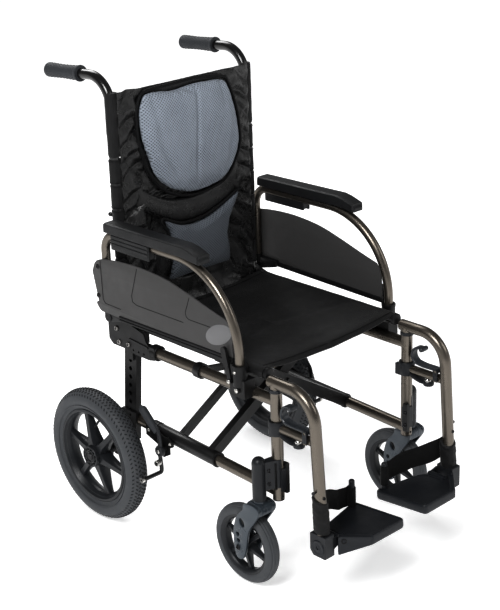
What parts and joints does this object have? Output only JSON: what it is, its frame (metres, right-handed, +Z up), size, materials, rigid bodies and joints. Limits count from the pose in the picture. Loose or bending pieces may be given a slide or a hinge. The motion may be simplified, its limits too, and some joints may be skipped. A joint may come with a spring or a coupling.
{
  "type": "manual wheelchair",
  "caption": "Folding attendant-propelled wheelchair with small rear wheels, sling seat and back, flip-back armrests and swing-away legrests.",
  "frame": {"origin": "on the floor under the centre of the bounding box, on the symmetry plane", "axes": "+Z up, the occupant faces -Y, +X to the occupant's left"},
  "size_m": [0.598, 0.893, 1.0308],
  "materials": {
    "bronze": "satin",
    "black_steel": "gloss",
    "black_plastic": "satin",
    "dark_plastic": "satin",
    "panel_grey": "matte",
    "grip_rubber": "matte",
    "tyre": "matte",
    "steel": "satin",
    "nylon": "woven",
    "mesh": "woven mesh"
  },
  "bodies": {
    "right_frame": {"side_frame_right": "bronze", "rear_bracket_right": "black_plastic", "push_cane_right": "black_steel", "push_grip_right": "grip_rubber", "caster_housing_right": "dark_plastic", "seat_saddles_right": "black_plastic", "armrest_socket_right": "black_plastic", "brake_bracket_right": "black_plastic", "frame_bolts_right": "steel", "back_sling": "nylon", "back_pad": "mesh", "lumbar_pad": "mesh"},
    "left_frame": {"side_frame_left": "bronze", "rear_bracket_left": "black_plastic", "push_cane_left": "black_steel", "push_grip_left": "grip_rubber", "caster_housing_left": "dark_plastic", "seat_saddles_left": "black_plastic", "armrest_socket_left": "black_plastic", "brake_bracket_left": "black_plastic", "frame_bolts_left": "steel"},
    "cross_brace_a": {"cross_brace_a": "black_steel", "seat_sling": "nylon"},
    "cross_brace_b": {"cross_brace_b": "black_steel"},
    "armrest_right": {"armrest_tube_right": "bronze", "armrest_pad_right": "dark_plastic", "side_panel_right": "panel_grey"},
    "armrest_left": {"armrest_tube_left": "bronze", "armrest_pad_left": "dark_plastic", "side_panel_left": "panel_grey"},
    "armrest_latch_right": {"armrest_latch_right": "black_plastic"},
    "armrest_latch_left": {"armrest_latch_left": "black_plastic"},
    "brake_lever_right": {"brake_lever_right": "dark_plastic"},
    "brake_lever_left": {"brake_lever_left": "dark_plastic"},
    "brake_shoe_right": {"brake_shoe_right": "black_steel"},
    "brake_shoe_left": {"brake_shoe_left": "black_steel"},
    "rear_wheel_right": {"rear_tyre_right": "tyre", "rear_wheel_right": "dark_plastic", "rear_bearings_right": "steel"},
    "rear_wheel_left": {"rear_tyre_left": "tyre", "rear_wheel_left": "dark_plastic", "rear_bearings_left": "steel"},
    "caster_fork_right": {"caster_fork_right": "dark_plastic"},
    "caster_fork_left": {"caster_fork_left": "dark_plastic"},
    "caster_wheel_right": {"caster_tyre_right": "tyre", "caster_wheel_right": "dark_plastic"},
    "caster_wheel_left": {"caster_tyre_left": "tyre", "caster_wheel_left": "dark_plastic"},
    "legrest_right": {"legrest_hanger_right": "bronze", "footrest_block_right": "dark_plastic", "heel_strap_right": "nylon"},
    "legrest_left": {"legrest_hanger_left": "bronze", "footrest_block_left": "dark_plastic", "heel_strap_left": "nylon"},
    "legrest_lever_right": {"legrest_lever_right": "dark_plastic"},
    "legrest_lever_left": {"legrest_lever_left": "dark_plastic"},
    "footplate_right": {"footplate_right": "dark_plastic"},
    "footplate_left": {"footplate_left": "dark_plastic"},
    "fold_link_right": {"fold_link_right": "black_steel"},
    "fold_link_left": {"fold_link_left": "black_steel"}
  },
  "joints": [
    {"name": "frame_fold", "type": "hinge", "parent": "right_frame", "child": "cross_brace_a", "pos_m": [-0.202, 0, 0.231], "axis": [0, -0.9992, -0.0401], "range_deg": [0, 40], "deforming": ["seat_sling", "back_sling", "back_pad", "lumbar_pad"]},
    {"name": "brace_cross", "type": "hinge", "parent": "cross_brace_a", "child": "cross_brace_b", "pos_m": [0, -0.00498, 0.35499], "axis": [0, -0.9992, -0.0401], "range_deg": [-80, 0]},
    {"name": "brace_left_foot", "type": "hinge", "parent": "cross_brace_b", "child": "left_frame", "pos_m": [0.202, 0, 0.231], "axis": [0, -0.9992, -0.0401], "range_deg": [0, 40]},
    {"name": "fold_link_right", "type": "hinge", "parent": "right_frame", "child": "fold_link_right", "pos_m": [-0.202, -0.021, 0.425], "axis": [0, -1, 0], "range_deg": [0, 80]},
    {"name": "rear_wheel_spin_right", "type": "hinge", "parent": "right_frame", "child": "rear_wheel_right", "pos_m": [-0.273, 0.2648, 0.1575], "axis": [1, 0, 0], "continuous": true},
    {"name": "caster_swivel_right", "type": "hinge", "parent": "right_frame", "child": "caster_fork_right", "pos_m": [-0.238, -0.228, 0.2], "axis": [0, 0, 1], "continuous": true},
    {"name": "caster_spin_right", "type": "hinge", "parent": "caster_fork_right", "child": "caster_wheel_right", "pos_m": [-0.238, -0.1864, 0.09], "axis": [1, 0, 0], "continuous": true},
    {"name": "armrest_flip_right", "type": "hinge", "parent": "right_frame", "child": "armrest_right", "pos_m": [-0.228, 0.236, 0.49], "axis": [-1, 0, 0], "range_deg": [0, 95]},
    {"name": "armrest_latch_right", "type": "hinge", "parent": "right_frame", "child": "armrest_latch_right", "pos_m": [-0.24, -0.154, 0.453], "axis": [-1, 0, 0], "range_deg": [0, 20], "stiffness_Nm_per_rad": 0.4},
    {"name": "brake_lever_right", "type": "hinge", "parent": "right_frame", "child": "brake_lever_right", "pos_m": [-0.238, 0.0847, 0.212], "axis": [1, 0, 0], "range_deg": [0, 45]},
    {"name": "brake_shoe_right", "type": "hinge", "parent": "right_frame", "child": "brake_shoe_right", "pos_m": [-0.23, 0.101, 0.201], "axis": [1, 0, 0], "range_deg": [0, 6.5]},
    {"name": "legrest_swing_right", "type": "hinge", "parent": "right_frame", "child": "legrest_right", "pos_m": [-0.202, -0.248, 0.43], "axis": [0, 0, -1], "range_deg": [0, 90]},
    {"name": "legrest_lever_right", "type": "hinge", "parent": "legrest_right", "child": "legrest_lever_right", "pos_m": [-0.202, -0.338, 0.386], "axis": [1, 0, 0], "range_deg": [0, 6], "stiffness_Nm_per_rad": 0.6},
    {"name": "footplate_flip_right", "type": "hinge", "parent": "legrest_right", "child": "footplate_right", "pos_m": [-0.17, -0.37, 0.15], "axis": [0, -1, 0], "range_deg": [0, 88], "deforming": ["heel_strap_right"]},
    {"name": "fold_link_left", "type": "hinge", "parent": "left_frame", "child": "fold_link_left", "pos_m": [0.202, -0.021, 0.425], "axis": [0, 1, 0], "range_deg": [0, 80]},
    {"name": "rear_wheel_spin_left", "type": "hinge", "parent": "left_frame", "child": "rear_wheel_left", "pos_m": [0.273, 0.2648, 0.1575], "axis": [1, 0, 0], "continuous": true},
    {"name": "caster_swivel_left", "type": "hinge", "parent": "left_frame", "child": "caster_fork_left", "pos_m": [0.238, -0.228, 0.2], "axis": [0, 0, 1], "continuous": true},
    {"name": "caster_spin_left", "type": "hinge", "parent": "caster_fork_left", "child": "caster_wheel_left", "pos_m": [0.238, -0.1864, 0.09], "axis": [1, 0, 0], "continuous": true},
    {"name": "armrest_flip_left", "type": "hinge", "parent": "left_frame", "child": "armrest_left", "pos_m": [0.228, 0.236, 0.49], "axis": [-1, 0, 0], "range_deg": [0, 95]},
    {"name": "armrest_latch_left", "type": "hinge", "parent": "left_frame", "child": "armrest_latch_left", "pos_m": [0.24, -0.154, 0.453], "axis": [-1, 0, 0], "range_deg": [0, 20], "stiffness_Nm_per_rad": 0.4},
    {"name": "brake_lever_left", "type": "hinge", "parent": "left_frame", "child": "brake_lever_left", "pos_m": [0.238, 0.0847, 0.212], "axis": [1, 0, 0], "range_deg": [0, 45]},
    {"name": "brake_shoe_left", "type": "hinge", "parent": "left_frame", "child": "brake_shoe_left", "pos_m": [0.23, 0.101, 0.201], "axis": [1, 0, 0], "range_deg": [0, 6.5]},
    {"name": "legrest_swing_left", "type": "hinge", "parent": "left_frame", "child": "legrest_left", "pos_m": [0.202, -0.248, 0.43], "axis": [0, 0, 1], "range_deg": [0, 90]},
    {"name": "legrest_lever_left", "type": "hinge", "parent": "legrest_left", "child": "legrest_lever_left", "pos_m": [0.202, -0.338, 0.386], "axis": [1, 0, 0], "range_deg": [0, 6], "stiffness_Nm_per_rad": 0.6},
    {"name": "footplate_flip_left", "type": "hinge", "parent": "legrest_left", "child": "footplate_left", "pos_m": [0.17, -0.37, 0.15], "axis": [0, 1, 0], "range_deg": [0, 88], "deforming": ["heel_strap_left"]}
  ],
  "couplings": [
    {"joint": "brace_cross", "follows": "frame_fold", "ratio": -2},
    {"joint": "brace_left_foot", "follows": "frame_fold", "ratio": 1},
    {"joint": "fold_link_right", "follows": "frame_fold", "ratio": 2},
    {"joint": "brake_shoe_right", "follows": "brake_lever_right", "ratio": 0.14444},
    {"joint": "footplate_flip_right", "follows": "frame_fold", "ratio": 2.2},
    {"joint": "fold_link_left", "follows": "frame_fold", "ratio": 2},
    {"joint": "brake_shoe_left", "follows": "brake_lever_left", "ratio": 0.14444},
    {"joint": "footplate_flip_left", "follows": "frame_fold", "ratio": 2.2}
  ]
}
